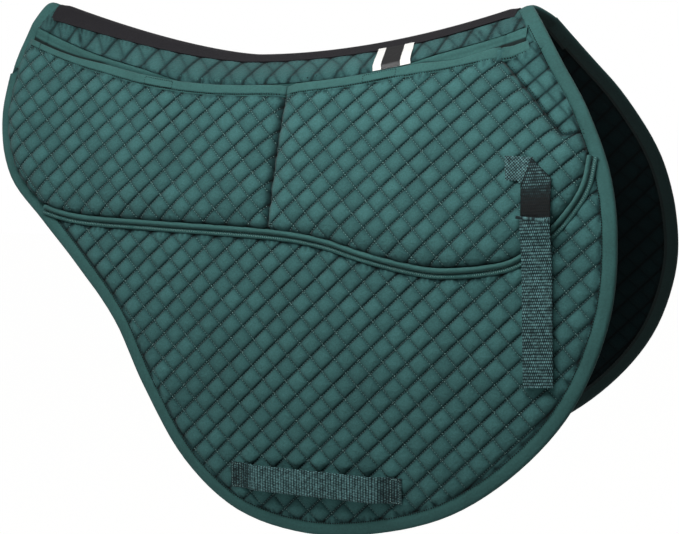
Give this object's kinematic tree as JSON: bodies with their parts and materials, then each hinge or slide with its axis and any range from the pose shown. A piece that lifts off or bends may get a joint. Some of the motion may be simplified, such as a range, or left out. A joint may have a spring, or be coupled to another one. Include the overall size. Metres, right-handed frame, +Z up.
{
  "type": "correction saddle pad",
  "caption": "Quilted cotton correction saddle pad with insert pockets over each panel, a webbing spine, billet straps and girth keepers.",
  "frame": {"origin": "on the horse's back: the lowest point of the spine lining's underside, on the centre plane", "axes": "+X towards the horse's head, +Y to the horse's left, +Z up"},
  "size_m": [0.7376, 0.3922, 0.5541],
  "materials": {
    "cotton": "dark teal brushed cotton, quilted",
    "cotton_tape": "dark teal cotton tape",
    "black_webbing": "flat black woven webbing",
    "green_webbing": "grey-green ribbed webbing",
    "hook_and_loop": "dark hook and loop tape",
    "insert_foam": "grey felted foam",
    "label_satin": "plain woven satin"
  },
  "bodies": {
    "spine": {"spine_lining": "cotton", "spine_strip": "cotton", "spine_webbing": "black_webbing", "front_spine_binding": "cotton_tape", "rear_spine_binding": "cotton_tape", "woven_label": "label_satin"},
    "right_side": {"right_lining": "cotton", "right_panel": "cotton", "right_facing": "cotton", "right_rear_pocket_cover": "cotton", "right_front_pocket_cover": "cotton", "right_rear_pocket_hem": "cotton_tape", "right_front_pocket_hem": "cotton_tape", "right_front_wedge": "cotton", "right_pocket_lower_band": "cotton_tape", "right_edge_binding": "cotton_tape", "right_rear_loop_patch": "hook_and_loop", "right_front_loop_patch": "hook_and_loop", "right_rear_hook_patch": "hook_and_loop", "right_front_hook_patch": "hook_and_loop", "right_girth_keeper": "green_webbing", "right_billet_tab": "green_webbing"},
    "right_rear_insert": {"right_rear_insert": "insert_foam"},
    "right_front_insert": {"right_front_insert": "insert_foam"},
    "right_strap": {"right_billet_strap": "green_webbing"},
    "right_flap": {"right_strap_flap": "green_webbing"},
    "left_side": {"left_lining": "cotton", "left_panel": "cotton", "left_facing": "cotton", "left_rear_pocket_cover": "cotton", "left_front_pocket_cover": "cotton", "left_rear_pocket_hem": "cotton_tape", "left_front_pocket_hem": "cotton_tape", "left_front_wedge": "cotton", "left_pocket_lower_band": "cotton_tape", "left_edge_binding": "cotton_tape", "left_rear_loop_patch": "hook_and_loop", "left_front_loop_patch": "hook_and_loop", "left_rear_hook_patch": "hook_and_loop", "left_front_hook_patch": "hook_and_loop", "left_girth_keeper": "green_webbing", "left_billet_tab": "green_webbing"},
    "left_rear_insert": {"left_rear_insert": "insert_foam"},
    "left_front_insert": {"left_front_insert": "insert_foam"},
    "left_strap": {"left_billet_strap": "green_webbing"},
    "left_flap": {"left_strap_flap": "green_webbing"}
  },
  "joints": [
    {"name": "right_side_swing", "type": "hinge", "parent": "spine", "child": "right_side", "pos_m": [0, -0.05266, 0.01713], "axis": [1, 0, 0], "range_deg": [-45, 0]},
    {"name": "right_rear_insert_slide", "type": "hinge", "parent": "right_side", "child": "right_rear_insert", "pos_m": [0, 0.78166, -0.47607], "axis": [-1, 0, 0], "range_deg": [0, 9]},
    {"name": "right_front_insert_slide", "type": "hinge", "parent": "right_side", "child": "right_front_insert", "pos_m": [0, 0.78166, -0.47607], "axis": [-1, 0, 0], "range_deg": [0, 10.5]},
    {"name": "right_strap_lift", "type": "hinge", "parent": "right_side", "child": "right_strap", "pos_m": [0.284, -0.1347, -0.10927], "axis": [-0.996, -0.0343, -0.0828], "range_deg": [0, 150]},
    {"name": "right_flap_open", "type": "hinge", "parent": "right_strap", "child": "right_flap", "pos_m": [0.30126, -0.17713, -0.30627], "axis": [0.9961, 0.016, 0.0869], "range_deg": [0, 160]},
    {"name": "left_side_swing", "type": "hinge", "parent": "spine", "child": "left_side", "pos_m": [0, 0.05266, 0.01713], "axis": [1, 0, 0], "range_deg": [0, 45]},
    {"name": "left_rear_insert_slide", "type": "hinge", "parent": "left_side", "child": "left_rear_insert", "pos_m": [0, -0.78166, -0.47607], "axis": [-1, 0, 0], "range_deg": [-9, 0]},
    {"name": "left_front_insert_slide", "type": "hinge", "parent": "left_side", "child": "left_front_insert", "pos_m": [0, -0.78166, -0.47607], "axis": [-1, 0, 0], "range_deg": [-10.5, 0]},
    {"name": "left_strap_lift", "type": "hinge", "parent": "left_side", "child": "left_strap", "pos_m": [0.284, 0.1347, -0.10927], "axis": [-0.996, 0.0343, -0.0828], "range_deg": [-150, 0]},
    {"name": "left_flap_open", "type": "hinge", "parent": "left_strap", "child": "left_flap", "pos_m": [0.30126, 0.17713, -0.30627], "axis": [0.9961, -0.016, 0.0869], "range_deg": [-160, 0]}
  ]
}
